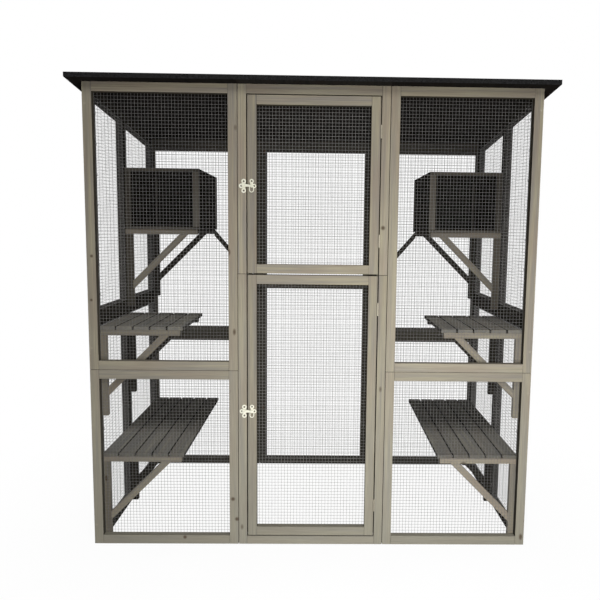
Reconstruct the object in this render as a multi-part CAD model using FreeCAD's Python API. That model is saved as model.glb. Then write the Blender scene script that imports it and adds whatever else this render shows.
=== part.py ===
import FreeCAD, Part
import math
import os
from FreeCAD import Vector

# A walk-in wooden cat cage: timber panels filled with welded wire mesh, three columns wide and two deep,
# under a felted roof that falls to the back. The centre column of the front holds an upper and a lower
# door. Inside, left and right alike, are a lower shelf, an upper shelf and a resting box on brackets.
# Millimetres. X runs to the right, Y from front to back, Z up. The origin is on the ground in the middle.

# Overall sizes
COLUMN_WIDTH = 580.0
CAGE_DEPTH = 910.0
FRONT_HEIGHT = 1810.0
ROOF_FALL_ANGLE = 5.6

# Timber panels: the corner reveal is the strip of a corner stile that shows beside the side wall, and the
# middle offset is how far in front of the cage's middle the side walls' middle posts stand
MEMBER_THICKNESS = 28.0
CORNER_REVEAL = 8.0
MIDDLE_STILE_FACE = 28.0
MIDDLE_OFFSET = 42.0
WALL_HEAD_FACE = 45.0
BACK_HEAD_FACE = 57.0
COLUMN_SEAM_HEIGHT = 714.0
DOOR_SEAM_HEIGHT = 1096.0
BACK_SEAM_HEIGHT = 995.0
WALL_SEAM_HEIGHT = 915.0

# Doors
JAMB_FACE = 34.0
DOOR_GAP = 3.0
DOOR_MEETING_GAP = 5.0
DOOR_MEMBER_FACE = 36.0

# Welded mesh, with about every seventh wire of the half-inch grid
MESH_PITCH = 88.9
WIRE_SIZE = 1.2
MESH_EDGE_CLEARANCE = 2.0

# Roof
ROOF_OVERHANG = 45.0
ROOF_BOARD_THICKNESS = 15.0
FELT_THICKNESS = 2.0

# Shelves and their brackets
SLAT_COUNT = 5
SLAT_WIDTH = 60.0
SLAT_GAP = 6.5
SLAT_THICKNESS = 14.0
WALL_CLEARANCE = 4.0
MESH_CLEARANCE = 3.0
UPPER_SHELF_OVERRUN = 20.0
BRACKET_THICKNESS = 22.0
ARM_DEPTH = 22.0
ARM_SETBACK = 11.0
LEG_FACE = 30.0
LEG_LENGTH = 325.0
BRACE_FACE = 26.0
BRACE_RUN = 209.0
FOOT_CLEARANCE = 5.0
LEG_CLEARANCE = 35.0

# Resting boxes
BOX_HEADROOM = 135.0
BOX_HEIGHT = 268.0
BOX_FRONT_OVERHANG = 9.0
BOX_POST = 28.0
BOX_FLOOR_THICKNESS = 12.0
BOX_TOP_THICKNESS = 14.0
BOX_WALL_THICKNESS = 9.0
BOX_WALL_INSET = 5.0
STRUT_FACE = 20.0
STRUT_DROP = 255.0
CLEAT_FACE = 28.0
CLEAT_LENGTH = 120.0

# Butt hinges
HINGE_LENGTH = 50.0
HINGE_INSET = 105.0
HINGE_LEAF_THICKNESS = 1.2
HINGE_LEAF_DEPTH = 22.0
KNUCKLE_RADIUS = 3.2
KNUCKLE_GAP = 0.4
PIN_RADIUS = 1.25
RUNNING_CLEARANCE = 0.05

# Hook latches
UPPER_LATCH_HEIGHT = 1432.0
LOWER_LATCH_HEIGHT = 552.0
JAMB_LATCH_SETBACK = 9.6
DOOR_LATCH_SETBACK = 17.5
LATCH_PLATE_THICKNESS = 2.5
LATCH_PLATE_HEIGHT = 53.0
LATCH_WAIST = 11.0
JAMB_LOBE_RADIUS = 9.0
DOOR_LOBE_RADIUS = 8.0
LOBE_REACH = 9.5
LATCH_STANDOFF = 2.0
HOOK_THICKNESS = 3.5
HOOK_BAR_DEPTH = 6.5
HOOK_EYE_RADIUS = 6.0
HOOK_NOSE_DROP = 5.0
HOOK_NOSE_LENGTH = 4.0
HOOK_CLEARANCE = 0.4
PULL_LENGTH = 24.5
PULL_RADIUS = 9.0
PULL_BAR = 3.0
PIVOT_RADIUS = 2.6
PIVOT_HEAD_RADIUS = 4.6
PIVOT_HEAD_HEIGHT = 1.5
STUD_RADIUS = 3.0
STUD_PROUD = 1.5

# Places that follow from the sizes
MEMBER_FACE = MEMBER_THICKNESS + CORNER_REVEAL
MESH_LAP = CORNER_REVEAL - MESH_EDGE_CLEARANCE
HALF_WIDTH = 1.5 * COLUMN_WIDTH
HALF_COLUMN = 0.5 * COLUMN_WIDTH
FRONT_FACE = -0.5 * CAGE_DEPTH
BACK_FACE = 0.5 * CAGE_DEPTH
FRONT_INNER = FRONT_FACE + MEMBER_THICKNESS
BACK_INNER = BACK_FACE - MEMBER_THICKNESS
WALL_INNER = HALF_WIDTH - MEMBER_THICKNESS
ROOF_SLOPE = math.tan(math.radians(ROOF_FALL_ANGLE))
SIDES = {"left": -1, "right": 1}


def roof_height(y):
    """Height of the roof boards' underside at a depth."""
    return FRONT_HEIGHT - (y - FRONT_FACE) * ROOF_SLOPE


def level(height):
    """A panel top that is the same height at every depth."""
    return lambda y: height


def prism_along_x(outline, start, end):
    """A profile of (y, z) points carried from one x to another."""
    corners = [Vector(start, y, z) for y, z in outline]
    face = Part.Face(Part.makePolygon(corners + corners[:1]))
    return face.extrude(Vector(end - start, 0, 0))


def prism_along_y(outline, start, end):
    """A profile of (x, z) points carried from one y to another."""
    corners = [Vector(x, start, z) for x, z in outline]
    face = Part.Face(Part.makePolygon(corners + corners[:1]))
    return face.extrude(Vector(0, end - start, 0))


def bar(x_ends, y_ends, z_ends):
    """A square-cut timber between two places on each axis, given in either order."""
    low = Vector(min(x_ends), min(y_ends), min(z_ends))
    high = Vector(max(x_ends), max(y_ends), max(z_ends))
    size = high - low
    return Part.makeBox(size.x, size.y, size.z, low)


def rod(radius, length, base, direction):
    """A round bar from a base point."""
    return Part.makeCylinder(radius, length, base, direction)


nodes = {}


def keep(name, solids):
    """Store a node, as one solid or as a group of separate solids."""
    nodes[name] = solids[0] if len(solids) == 1 else Part.makeCompound(solids)


# Wall panels: two full-height stiles, with a sill rail and a head rail between them


def cross_panel(x_ends, y_ends, bottom, top, head, sill, stile):
    """A panel of the front or back, whose head rail is planed to the roof where it meets it."""
    left, right = x_ends
    near, far = y_ends
    upright = [(near, bottom), (far, bottom), (far, top(far)), (near, top(near))]
    members = [
        prism_along_x(upright, left, left + stile),
        prism_along_x(upright, right - stile, right),
    ]
    inner = (left + stile, right - stile)
    head_under = top(near) - head
    if sill > 0:
        members.append(bar(inner, y_ends, (bottom, bottom + sill)))
    if head > 0:
        rail = [(near, head_under), (far, head_under), (far, top(far)), (near, top(near))]
        members.append(prism_along_x(rail, *inner))
    window = (inner[0], inner[1], bottom + sill, head_under, head_under)
    return members, window


def side_panel(x_ends, y_ends, bottom, top, head, sill, stiles):
    """A panel of a side wall, whose head rail runs with the roof's fall."""
    near, far = y_ends
    inner = (near + stiles[0], far - stiles[1])
    members = []
    for start, end in ((near, inner[0]), (inner[1], far)):
        upright = [(start, bottom), (end, bottom), (end, top(end)), (start, top(start))]
        members.append(prism_along_x(upright, *x_ends))
    members.append(bar(x_ends, inner, (bottom, bottom + sill)))
    start, end = inner
    rail = [(start, top(start) - head), (end, top(end) - head), (end, top(end)), (start, top(start))]
    members.append(prism_along_x(rail, *x_ends))
    window = (start, end, bottom + sill, top(start) - head, top(end) - head)
    return members, window


# Welded mesh: upright wires stapled to the timber, and level wires welded across their inner side. The
# outermost wires of each sheet lie on the members round the window


def wire_places(start, end):
    """Even places for the wires over a window, from one edge wire on the timber to the other."""
    first = start - MESH_LAP + 0.5 * WIRE_SIZE
    last = end + MESH_LAP - 0.5 * WIRE_SIZE
    bays = max(2, round((last - first) / MESH_PITCH))
    return [first + (last - first) * step / bays for step in range(bays + 1)]


def mesh_sheet(window, place, inward):
    """The wires of one panel; place turns window coordinates into points on the timber."""
    start, end, bottom, top_start, top_end = window
    fall = (top_start - top_end) / (end - start)

    def wire(u_low, u_high, v_low, v_high, depth):
        outline = [(u_low, v_low), (u_high, v_low), (u_high, v_high), (u_low, v_high)]
        corners = [place(u, v) + inward * depth for u, v in outline]
        face = Part.Face(Part.makePolygon(corners + corners[:1]))
        return face.extrude(inward * WIRE_SIZE)

    def tip_across(v):
        """Where a level wire ends: on the far stile, or where it runs in under a falling head rail."""
        over_head = v - MESH_LAP - top_end
        return end + MESH_LAP if over_head <= 0 else end - over_head / fall

    half = 0.5 * WIRE_SIZE
    wires = []
    for u in wire_places(start, end):
        head_under = top_start - (u - start) * fall
        wires.append(wire(u - half, u + half, bottom - MESH_LAP, head_under + MESH_LAP, 0.0))
    for v in wire_places(bottom, top_start):
        if tip_across(v) - start > MESH_PITCH:
            wires.append(wire(start - MESH_LAP, tip_across(v), v - half, v + half, WIRE_SIZE))
    return wires


def front_place(u, v):
    return Vector(u, FRONT_INNER, v)


def back_place(u, v):
    return Vector(u, BACK_INNER, v)


def left_place(u, v):
    return Vector(-WALL_INNER, u, v)


def right_place(u, v):
    return Vector(WALL_INNER, u, v)


TO_BACK = Vector(0, 1, 0)
TO_FRONT = Vector(0, -1, 0)
TO_RIGHT = Vector(1, 0, 0)
TO_LEFT = Vector(-1, 0, 0)

# Front columns beside the doors
front_depth = (FRONT_FACE, FRONT_INNER)
outer_columns = {"left": (-HALF_WIDTH, -HALF_COLUMN), "right": (HALF_COLUMN, HALF_WIDTH)}
for side, column in outer_columns.items():
    mesh = []
    tiers = {"lower": (0.0, level(COLUMN_SEAM_HEIGHT)), "upper": (COLUMN_SEAM_HEIGHT, roof_height)}
    for tier, (bottom, top) in tiers.items():
        frame, window = cross_panel(column, front_depth, bottom, top, MEMBER_FACE, MEMBER_FACE, MEMBER_FACE)
        keep(f"front_{side}_{tier}_frame", frame)
        mesh += mesh_sheet(window, front_place, TO_BACK)
    keep(f"front_{side}_mesh", mesh)

# Door jambs in the centre column: the lower frame has only a sill, the upper one only a head
centre_column = (-HALF_COLUMN, HALF_COLUMN)
lower_top = level(DOOR_SEAM_HEIGHT)
jambs, doorway = cross_panel(centre_column, front_depth, 0.0, lower_top, 0.0, JAMB_FACE, JAMB_FACE)
keep("door_lower_jamb_frame", jambs)
lower_sill_top = doorway[2]
jambs, doorway = cross_panel(
    centre_column, front_depth, DOOR_SEAM_HEIGHT, roof_height, MEMBER_FACE, 0.0, JAMB_FACE
)
keep("door_upper_jamb_frame", jambs)
upper_head_under = doorway[3]

# Back wall
back_depth = (BACK_INNER, BACK_FACE)
back_columns = dict(outer_columns, centre=centre_column)
for column_name, column in back_columns.items():
    seam = BACK_SEAM_HEIGHT if column_name == "centre" else COLUMN_SEAM_HEIGHT
    mesh = []
    tiers = {"lower": (0.0, level(seam), MEMBER_FACE), "upper": (seam, roof_height, BACK_HEAD_FACE)}
    for tier, (bottom, top, head) in tiers.items():
        frame, window = cross_panel(column, back_depth, bottom, top, head, MEMBER_FACE, MEMBER_FACE)
        keep(f"back_{column_name}_{tier}_frame", frame)
        mesh += mesh_sheet(window, back_place, TO_FRONT)
    keep(f"back_{column_name}_mesh", mesh)

# Side walls, each two columns deep, between the front and the back
wall_places = {"left": (left_place, TO_RIGHT), "right": (right_place, TO_LEFT)}
wall_middle = -MIDDLE_OFFSET
wall_bays = {"front": (FRONT_INNER, wall_middle), "rear": (wall_middle, BACK_INNER)}
wall_stiles = {"front": (MEMBER_FACE, MIDDLE_STILE_FACE), "rear": (MIDDLE_STILE_FACE, MEMBER_FACE)}
for side, hand in SIDES.items():
    place, inward = wall_places[side]
    wall_ends = (hand * WALL_INNER, hand * HALF_WIDTH)
    mesh = []
    for bay, depth in wall_bays.items():
        tiers = {
            "lower": (0.0, level(WALL_SEAM_HEIGHT), MEMBER_FACE),
            "upper": (WALL_SEAM_HEIGHT, roof_height, WALL_HEAD_FACE),
        }
        for tier, (bottom, top, head) in tiers.items():
            stiles = wall_stiles[bay]
            frame, window = side_panel(wall_ends, depth, bottom, top, head, MEMBER_FACE, stiles)
            keep(f"{side}_{bay}_{tier}_frame", frame)
            mesh += mesh_sheet(window, place, inward)
    keep(f"{side}_wall_mesh", mesh)

# Door leaves, flush with the front
leaf_half_width = HALF_COLUMN - JAMB_FACE - DOOR_GAP
leaf_ends = (-leaf_half_width, leaf_half_width)
leaf_heights = {
    "lower": (lower_sill_top + DOOR_GAP, DOOR_SEAM_HEIGHT - 0.5 * DOOR_MEETING_GAP),
    "upper": (DOOR_SEAM_HEIGHT + 0.5 * DOOR_MEETING_GAP, upper_head_under - DOOR_GAP),
}
for tier, (bottom, top) in leaf_heights.items():
    frame, window = cross_panel(
        leaf_ends, front_depth, bottom, level(top), DOOR_MEMBER_FACE, DOOR_MEMBER_FACE, DOOR_MEMBER_FACE
    )
    keep(f"{tier}_door_frame", frame)
    keep(f"{tier}_door_mesh", mesh_sheet(window, front_place, TO_BACK))

# Butt hinges on the right edge of each leaf: the plates lie in the gap, the knuckles stand in front
hinge_x = leaf_half_width + 0.5 * DOOR_GAP
hinge_y = FRONT_FACE - KNUCKLE_RADIUS
bore_radius = PIN_RADIUS + RUNNING_CLEARANCE
knuckle_length = 0.5 * HINGE_LENGTH
UP = Vector(0, 0, 1)


def hinge_plate(foot, hand, knuckle_index):
    """One hinge leaf: a plate against the timber, with the knuckle that it rolls into."""
    timber_side = hinge_x + hand * 0.5 * DOOR_GAP
    plate_x = (timber_side - hand * HINGE_LEAF_THICKNESS, timber_side)
    plate_back = FRONT_FACE + HINGE_LEAF_DEPTH
    plate = bar(plate_x, (FRONT_FACE + KNUCKLE_GAP, plate_back), (foot, foot + HINGE_LENGTH))
    low = foot + knuckle_index * knuckle_length + 0.5 * KNUCKLE_GAP
    length = knuckle_length - KNUCKLE_GAP
    knuckle = rod(KNUCKLE_RADIUS, length, Vector(hinge_x, hinge_y, low), UP)
    web = bar(plate_x, (hinge_y, FRONT_FACE + 2 * KNUCKLE_GAP), (low, low + length))
    bore = rod(bore_radius, HINGE_LENGTH, Vector(hinge_x, hinge_y, foot), UP)
    return plate.multiFuse([knuckle, web]).cut(bore).removeSplitter().Solids[0]


jamb_leaves = []
pins = []
for tier, (bottom, top) in leaf_heights.items():
    door_leaves = []
    for foot in (bottom + HINGE_INSET, top - HINGE_INSET - HINGE_LENGTH):
        jamb_leaves.append(hinge_plate(foot, 1.0, 0))
        door_leaves.append(hinge_plate(foot, -1.0, 1))
        pins.append(rod(PIN_RADIUS, HINGE_LENGTH, Vector(hinge_x, hinge_y, foot), UP))
    keep(f"{tier}_door_hinge_leaves", door_leaves)
keep("hinge_jamb_leaves", jamb_leaves)
keep("hinge_pins", pins)

# Hook latches on the left edge: a cast plate with a stud on the jamb, and one with a pivot on the door
jamb_latch_x = -HALF_COLUMN + JAMB_FACE - JAMB_LATCH_SETBACK
door_latch_x = -leaf_half_width + DOOR_LATCH_SETBACK
plate_front = FRONT_FACE - LATCH_PLATE_THICKNESS
hook_back = plate_front - LATCH_STANDOFF
hook_front = hook_back - HOOK_THICKNESS


def cast_plate(x, z, lobes, radius):
    """A flat casting: round screw lobes, each joined to the middle by an arm."""
    depth = (plate_front, FRONT_FACE)
    waist = 0.5 * LATCH_WAIST
    pieces = []
    for across, rise in lobes:
        tip_x = x + across
        tip_z = z + rise
        arm_x = (x - waist, x + waist) if across == 0 else (x, tip_x)
        arm_z = (z - waist, z + waist) if rise == 0 else (z, tip_z)
        pieces.append(bar(arm_x, depth, arm_z))
        pieces.append(rod(radius, LATCH_PLATE_THICKNESS, Vector(tip_x, FRONT_FACE, tip_z), TO_FRONT))
    hub = rod(HOOK_EYE_RADIUS, LATCH_PLATE_THICKNESS, Vector(x, FRONT_FACE, z), TO_FRONT)
    return hub.multiFuse(pieces)


def jamb_latch_plate(z):
    """The jamb plate, with lobes above, below and outside the stud that the hook drops over."""
    rise = 0.5 * LATCH_PLATE_HEIGHT - JAMB_LOBE_RADIUS
    lobes = [(0.0, rise), (0.0, -rise), (-LOBE_REACH, 0.0)]
    plate = cast_plate(jamb_latch_x, z, lobes, JAMB_LOBE_RADIUS)
    stud_length = FRONT_FACE - hook_front + STUD_PROUD
    stud = rod(STUD_RADIUS, stud_length, Vector(jamb_latch_x, FRONT_FACE, z), TO_FRONT)
    return plate.fuse(stud).removeSplitter().Solids[0]


def door_latch_plate(z):
    """The door plate, with lobes above and inside the headed pivot of the hook."""
    rise = 0.5 * LATCH_PLATE_HEIGHT - DOOR_LOBE_RADIUS
    lobes = [(0.0, rise), (LOBE_REACH, 0.0)]
    plate = cast_plate(door_latch_x, z, lobes, DOOR_LOBE_RADIUS)
    base = Vector(door_latch_x, FRONT_FACE, z)
    pivot_length = FRONT_FACE - hook_front + HOOK_CLEARANCE
    pivot = rod(PIVOT_RADIUS, pivot_length, base, TO_FRONT)
    head = rod(PIVOT_HEAD_RADIUS, PIVOT_HEAD_HEIGHT, base + TO_FRONT * pivot_length, TO_FRONT)
    return plate.multiFuse([pivot, head]).removeSplitter().Solids[0]


def pull_slot(z, radius):
    """A flat round-ended piece that hangs from the pivot to the bend of the pull loop."""
    bend = Vector(door_latch_x, hook_back, z - PULL_LENGTH + PULL_RADIUS)
    shaft = bar((bend.x - radius, bend.x + radius), (hook_back, hook_front), (bend.z, z))
    return shaft.fuse(rod(radius, HOOK_THICKNESS, bend, TO_FRONT))


def latch_hook(z):
    """The hook: a deep eye on the pivot, a bar with a nose that drops behind the stud, and a pull loop."""
    eye_back = plate_front - HOOK_CLEARANCE
    eye_base = Vector(door_latch_x, eye_back, z)
    eye = rod(HOOK_EYE_RADIUS, eye_back - hook_front, eye_base, TO_FRONT)
    bore = rod(PIVOT_RADIUS + RUNNING_CLEARANCE, eye_back - hook_front, eye_base, TO_FRONT)
    notch_top = z + STUD_RADIUS + HOOK_CLEARANCE
    bar_top = notch_top + HOOK_BAR_DEPTH
    nose_inner = jamb_latch_x - STUD_RADIUS - HOOK_CLEARANCE
    nose_outer = nose_inner - HOOK_NOSE_LENGTH
    shank_end = jamb_latch_x + STUD_RADIUS + HOOK_CLEARANCE
    profile = [
        (door_latch_x, z - 0.5 * HOOK_BAR_DEPTH),
        (shank_end, z - 0.5 * HOOK_BAR_DEPTH),
        (shank_end, notch_top),
        (nose_inner, notch_top),
        (nose_inner, notch_top - HOOK_NOSE_DROP),
        (nose_outer, notch_top - HOOK_NOSE_DROP),
        (nose_outer, bar_top),
        (shank_end, bar_top),
        (door_latch_x, z + 0.5 * HOOK_BAR_DEPTH),
    ]
    arm = prism_along_y(profile, hook_back, hook_front)
    pull = pull_slot(z, PULL_RADIUS).cut(pull_slot(z, PULL_RADIUS - PULL_BAR))
    return pull.multiFuse([eye, arm]).cut(bore).removeSplitter().Solids[0]


latch_heights = {"lower": LOWER_LATCH_HEIGHT, "upper": UPPER_LATCH_HEIGHT}
keep("latch_jamb_plates", [jamb_latch_plate(z) for z in latch_heights.values()])
for tier, z in latch_heights.items():
    keep(f"{tier}_door_latch_plate", [door_latch_plate(z)])
    keep(f"{tier}_latch_hook", [latch_hook(z)])

# Roof: three sloped boards laid on the walls, each with felt turned down over its outer edges
roof_near = FRONT_FACE - ROOF_OVERHANG
roof_far = BACK_FACE + ROOF_OVERHANG
board_rise = ROOF_BOARD_THICKNESS / math.cos(math.radians(ROOF_FALL_ANGLE))
felt_rise = board_rise + FELT_THICKNESS
roof_columns = {
    "left": (-HALF_WIDTH - ROOF_OVERHANG, -HALF_COLUMN),
    "centre": centre_column,
    "right": (HALF_COLUMN, HALF_WIDTH + ROOF_OVERHANG),
}


def roof_strip(near, far, low, high):
    """A sloped strip between two depths and two heights above the boards' underside."""
    return [
        (near, roof_height(near) + low),
        (far, roof_height(far) + low),
        (far, roof_height(far) + high),
        (near, roof_height(near) + high),
    ]


felts = []
for column_name, (left, right) in roof_columns.items():
    board = prism_along_x(roof_strip(roof_near, roof_far, 0.0, board_rise), left, right)
    keep(f"roof_{column_name}_board", [board])
    felt_near = roof_near - FELT_THICKNESS
    felt_far = roof_far + FELT_THICKNESS
    felt_left = left - FELT_THICKNESS if column_name == "left" else left
    felt_right = right + FELT_THICKNESS if column_name == "right" else right
    wrap = prism_along_x(roof_strip(felt_near, felt_far, 0.0, felt_rise), felt_left, felt_right)
    core = prism_along_x(roof_strip(roof_near, roof_far, -FELT_THICKNESS, board_rise), left, right)
    felts.append(wrap.cut(core))
keep("roof_felt", felts)

# Triangular brackets: an arm under the load, a leg on the wall posts and a brace at 45 degrees
arm_length = SLAT_COUNT * (SLAT_WIDTH + SLAT_GAP) - SLAT_GAP + WALL_CLEARANCE - ARM_SETBACK
bracket_height = ARM_DEPTH + LEG_LENGTH
front_bracket = FRONT_INNER + MESH_CLEARANCE
rear_bracket = BACK_INNER - MESH_CLEARANCE - BRACKET_THICKNESS
middle_bracket = wall_middle - 0.5 * BRACKET_THICKNESS


def bracket(hand, arm_top, y_start):
    """The three timbers of one bracket; distances run inwards from the wall."""
    y_end = y_start + BRACKET_THICKNESS

    def x_at(inwards):
        return hand * (WALL_INNER - inwards)

    arm_under = arm_top - ARM_DEPTH
    mitre = BRACE_FACE * math.sqrt(2.0)
    brace_reach = LEG_FACE + BRACE_RUN
    brace = [
        (x_at(brace_reach), arm_under),
        (x_at(brace_reach + mitre), arm_under),
        (x_at(LEG_FACE), arm_under - BRACE_RUN - mitre),
        (x_at(LEG_FACE), arm_under - BRACE_RUN),
    ]
    return [
        bar((x_at(0.0), x_at(arm_length)), (y_start, y_end), (arm_under, arm_top)),
        bar((x_at(0.0), x_at(LEG_FACE)), (y_start, y_end), (arm_under - LEG_LENGTH, arm_under)),
        prism_along_y(brace, y_start, y_end),
    ]


# Heights of what the brackets carry: the lower legs stand just clear of the ground, the box hangs below
# the wall heads, and the upper shelf lies below the feet of the box's brackets
lower_arm_top = FOOT_CLEARANCE + bracket_height
box_top = roof_height(BACK_INNER) - BACK_HEAD_FACE - BOX_HEADROOM
box_arm_top = box_top - BOX_HEIGHT
upper_arm_top = box_arm_top - bracket_height - LEG_CLEARANCE - SLAT_THICKNESS


def shelf_slats(hand, y_start, y_end, arm_top):
    """Slats laid from front to back on the arms."""
    slats = []
    for index in range(SLAT_COUNT):
        outer = WALL_INNER - WALL_CLEARANCE - index * (SLAT_WIDTH + SLAT_GAP)
        x_ends = (hand * outer, hand * (outer - SLAT_WIDTH))
        slats.append(bar(x_ends, (y_start, y_end), (arm_top, arm_top + SLAT_THICKNESS)))
    return slats


shelf_front = front_bracket
shelf_back = rear_bracket + BRACKET_THICKNESS
upper_shelf_back = middle_bracket + BRACKET_THICKNESS + UPPER_SHELF_OVERRUN
for side, hand in SIDES.items():
    keep(f"{side}_lower_shelf_slats", shelf_slats(hand, shelf_front, shelf_back, lower_arm_top))
    keep(f"{side}_upper_shelf_slats", shelf_slats(hand, shelf_front, upper_shelf_back, upper_arm_top))
    supports = []
    for y_start in (front_bracket, middle_bracket, rear_bracket):
        supports += bracket(hand, lower_arm_top, y_start)
    keep(f"{side}_lower_shelf_brackets", supports)
    supports = []
    for y_start in (front_bracket, middle_bracket):
        supports += bracket(hand, upper_arm_top, y_start)
    keep(f"{side}_upper_shelf_brackets", supports)

# Resting boxes: floor, posts, walls set in from the posts' faces, and a top; the front is open
box_front = middle_bracket - BOX_FRONT_OVERHANG
box_back = rear_bracket + BRACKET_THICKNESS
box_outer = WALL_INNER - WALL_CLEARANCE
box_inner = box_outer - SLAT_COUNT * (SLAT_WIDTH + SLAT_GAP) + SLAT_GAP
floor_top = box_arm_top + BOX_FLOOR_THICKNESS
top_under = box_top - BOX_TOP_THICKNESS
for side, hand in SIDES.items():
    wide = (hand * box_inner, hand * box_outer)
    deep = (box_front, box_back)
    tall = (floor_top, top_under)
    posts = []
    for edge, turn in ((box_inner, 1.0), (box_outer, -1.0)):
        for y_start in (box_front, box_back - BOX_POST):
            x_ends = (hand * edge, hand * (edge + turn * BOX_POST))
            posts.append(bar(x_ends, (y_start, y_start + BOX_POST), tall))
    keep(f"{side}_box_posts", posts)
    between_posts = (box_front + BOX_POST, box_back - BOX_POST)
    walls = [
        bar(wide, deep, (box_arm_top, floor_top)),
        bar(wide, deep, (top_under, box_top)),
    ]
    for edge, turn in ((box_inner, 1.0), (box_outer, -1.0)):
        face = edge + turn * BOX_WALL_INSET
        x_ends = (hand * face, hand * (face + turn * BOX_WALL_THICKNESS))
        walls.append(bar(x_ends, between_posts, tall))
    wall_back = box_back - BOX_WALL_INSET
    back_x = (hand * (box_inner + BOX_POST), hand * (box_outer - BOX_POST))
    walls.append(bar(back_x, (wall_back - BOX_WALL_THICKNESS, wall_back), tall))
    keep(f"{side}_box_boards", walls)
    supports = bracket(hand, box_arm_top, middle_bracket) + bracket(hand, box_arm_top, rear_bracket)
    arm_end = WALL_INNER - arm_length
    cleat_outer = HALF_COLUMN + 0.5 * CLEAT_FACE
    run = arm_end - cleat_outer
    cut_length = STRUT_FACE * math.hypot(run, STRUT_DROP) / run
    strut_top = box_arm_top
    strut_foot = box_arm_top - STRUT_DROP
    strut = [
        (hand * arm_end, strut_top),
        (hand * arm_end, strut_top - cut_length),
        (hand * cleat_outer, strut_foot - cut_length),
        (hand * cleat_outer, strut_foot),
    ]
    supports.append(prism_along_y(strut, rear_bracket, rear_bracket + BRACKET_THICKNESS))
    cleat_middle = strut_foot - 0.5 * cut_length
    cleat_z = (cleat_middle - 0.5 * CLEAT_LENGTH, cleat_middle + 0.5 * CLEAT_LENGTH)
    cleat_x = (hand * cleat_outer, hand * (cleat_outer - CLEAT_FACE))
    supports.append(bar(cleat_x, (rear_bracket, BACK_INNER), cleat_z))
    keep(f"{side}_box_brackets", supports)

os.makedirs("parts", exist_ok=True)
for name, shape in nodes.items():
    shape.exportStep(f"parts/{name}.step")
print(len(nodes), "nodes written")
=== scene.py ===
import functools
import math
import random

import bpy
import numpy as np
from mathutils import Matrix, Vector


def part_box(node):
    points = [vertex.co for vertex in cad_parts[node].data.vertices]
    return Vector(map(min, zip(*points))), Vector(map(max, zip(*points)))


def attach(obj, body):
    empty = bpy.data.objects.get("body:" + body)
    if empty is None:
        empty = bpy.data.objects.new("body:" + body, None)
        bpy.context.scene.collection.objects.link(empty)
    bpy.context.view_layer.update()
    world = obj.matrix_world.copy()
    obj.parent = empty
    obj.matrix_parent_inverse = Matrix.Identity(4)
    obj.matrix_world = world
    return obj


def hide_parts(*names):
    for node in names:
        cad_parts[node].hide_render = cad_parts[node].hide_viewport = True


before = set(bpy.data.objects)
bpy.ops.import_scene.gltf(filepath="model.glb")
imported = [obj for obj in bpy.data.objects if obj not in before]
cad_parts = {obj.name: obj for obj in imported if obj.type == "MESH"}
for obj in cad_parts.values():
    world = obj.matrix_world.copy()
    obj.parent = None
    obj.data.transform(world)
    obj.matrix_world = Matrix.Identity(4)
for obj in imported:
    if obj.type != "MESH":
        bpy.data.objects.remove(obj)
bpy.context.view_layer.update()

# Wall panels: softwood battens, planed and stained grey-brown, 28 mm thick. Each panel is two stiles with
# a sill rail and a head rail screwed between them, and the upper panels are cut to the fall of the roof.
STILE_FACE = 0.036
MIDDLE_STILE_FACE = 0.028
RAIL_FACE = 0.036
WALL_HEAD_FACE = 0.045
BACK_HEAD_FACE = 0.057
PANEL_JOINT = 0.0008
EASED_ARRIS = 0.0012
ARRIS_FACETS = 2
TO_LEFT = (-1.0, 0.0, 0.0)
TO_RIGHT = (1.0, 0.0, 0.0)
TO_FRONT = (0.0, -1.0, 0.0)
TO_BACK = (0.0, 1.0, 0.0)
UPWARD = (0.0, 0.0, 1.0)
ROOF_FALL = math.radians(5.6)
ROOF_EDGE = Vector((0.0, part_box("front_left_upper_frame")[0].y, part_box("front_left_upper_frame")[1].z))
ROOF_NORMAL = Vector((0.0, math.sin(ROOF_FALL), math.cos(ROOF_FALL)))
UNDER_ROOF = (ROOF_EDGE, ROOF_NORMAL)
OVER_WALL_HEAD = (ROOF_EDGE - Vector((0.0, 0.0, WALL_HEAD_FACE)), -ROOF_NORMAL)
TIER_CUTS = {"lower": [], "upper": [UNDER_ROOF]}
CORNER_LINES = (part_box("left_front_lower_frame")[1].x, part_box("right_front_lower_frame")[0].x)
HEART_REACH = ((0.0, 30.0), (-0.04, 0.04), (0.02, 0.06))
BATTEN_TONES = (0.93, 1.07)
END_GRAIN_SHADE = 0.72
END_GRAIN_FROM = 0.8
WORN_ARRIS_SHADE = 1.12
WORN_ARRIS_BELOW = 0.95
# Painted shade: faces of a batten that don't look outward are darkened to one of the next three shares, as
# if no light reached inside the cage; the vector after them spares the top faces of the front sills part
# of it, as painted light from above.
PAINTED_INNER_SHADE = 0.2
WALL_PAINTED_INNER_SHADE = 0.06
BACK_PAINTED_INNER_SHADE = 0.16
SILL_TOP_LIGHT = (0.0, 0.0, 0.75)
SILVERED_HEIGHT = 1.2
joiner = random.Random(11)


def paint(code):
    """The linear colour of an sRGB hex value."""
    parts = [int(code[place:place + 2], 16) / 255 for place in (1, 3, 5)]
    linear = [part / 12.92 if part <= 0.04045 else ((part + 0.055) / 1.055) ** 2.4 for part in parts]
    return linear + [1.0]


def add_node(tree, kind, inputs, output=0, **settings):
    """Adds one node with its settings and gives one of its outputs. Each input is a value, or another
    node's output that feeds it."""
    node = tree.nodes.new("ShaderNode" + kind)
    for name, value in settings.items():
        setattr(node, name, value)
    for name, value in inputs.items():
        if isinstance(value, bpy.types.NodeSocket):
            tree.links.new(value, node.inputs[name])
        else:
            node.inputs[name].default_value = value
    return node.outputs[output] if len(node.outputs) else None


def new_finish(name):
    """A material with nothing in its node tree yet, and what adds a node to that tree."""
    finish = bpy.data.materials.new(name)
    finish.use_nodes = True
    finish.node_tree.nodes.clear()
    return finish, functools.partial(add_node, finish.node_tree)


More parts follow.
